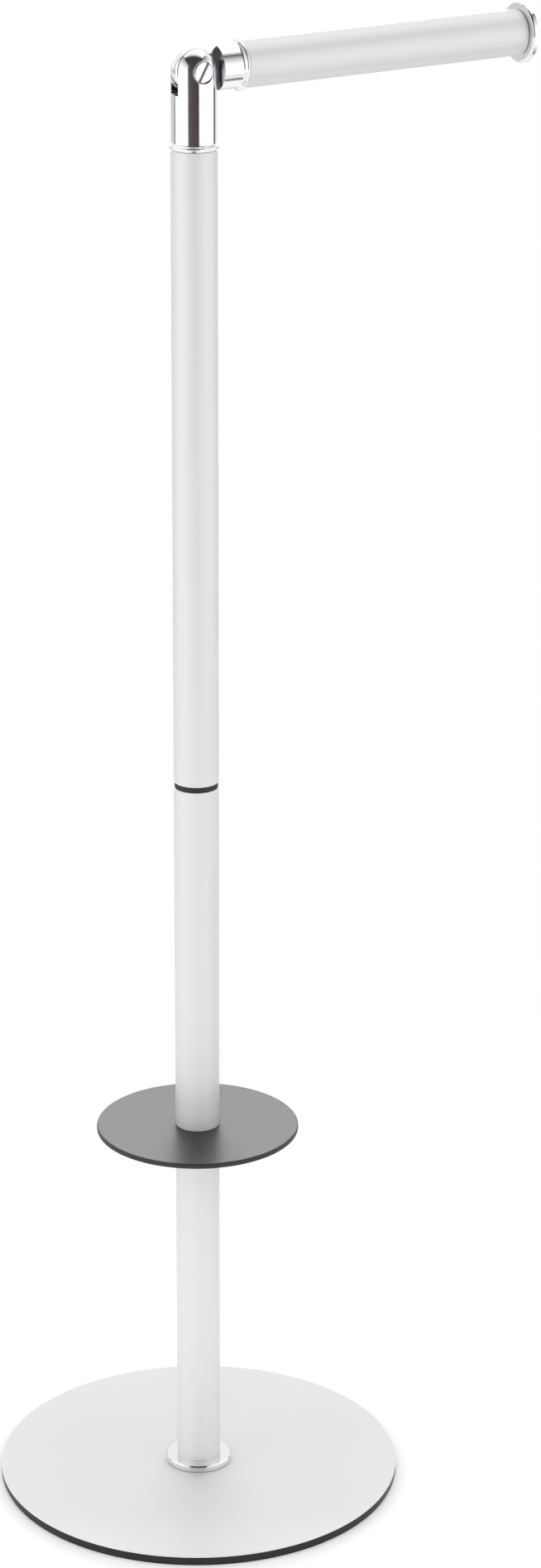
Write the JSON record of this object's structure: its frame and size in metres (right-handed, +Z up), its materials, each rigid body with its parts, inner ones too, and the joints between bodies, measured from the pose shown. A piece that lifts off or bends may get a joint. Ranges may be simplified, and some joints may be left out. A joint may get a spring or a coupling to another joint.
{
  "type": "freestanding toilet paper holder",
  "caption": "Freestanding toilet paper holder: round weighted base, white pole with a black spare roll disc, and a short arm on a chrome swing knuckle.",
  "frame": {"origin": "on the pole's axis, on the underside of the base pad, where the holder meets the floor", "axes": "+Z up along the pole, +X the way the arm points at rest, -Y the side that the slotted pivot screw faces"},
  "size_m": [0.2807, 0.203, 0.7391],
  "materials": {
    "white_enamel": "satin white enamel on steel",
    "black_enamel": "satin black enamel on steel",
    "chrome": "polished chrome plate",
    "black_rubber": "matt non-slip pad",
    "black_plastic": "satin moulded plastic",
    "zinc_steel": "zinc plated steel",
    "white_nylon": "moulded nylon"
  },
  "bodies": {
    "stand": {"base_pad": "black_rubber", "base_weight": "black_enamel", "base_cover": "white_enamel", "base_bolt": "zinc_steel", "foot_flange": "chrome", "foot_insert": "zinc_steel", "lower_tube": "white_enamel", "lower_top_insert": "zinc_steel", "spare_roll_disc": "black_enamel", "disc_stud": "zinc_steel", "middle_bottom_insert": "zinc_steel", "middle_tube": "white_enamel", "middle_top_insert": "zinc_steel", "joint_ring": "black_plastic", "joint_stud": "zinc_steel", "upper_bottom_insert": "zinc_steel", "upper_tube": "white_enamel", "upper_top_insert": "zinc_steel", "knuckle_stud": "zinc_steel", "knuckle_fork": "chrome", "pivot_screw": "chrome", "pivot_nut": "chrome"},
    "arm": {"friction_washer_front": "white_nylon", "friction_washer_rear": "white_nylon", "knuckle_tongue": "chrome", "arm_stud": "zinc_steel", "arm_insert": "zinc_steel", "arm_tube": "white_enamel", "end_bush": "white_nylon", "end_cap": "chrome"}
  },
  "joints": [
    {"name": "arm_swing", "type": "hinge", "parent": "stand", "child": "arm", "pos_m": [0, 0, 0.7202], "axis": [0, -1, 0], "range_deg": [0, 177.3]}
  ]
}
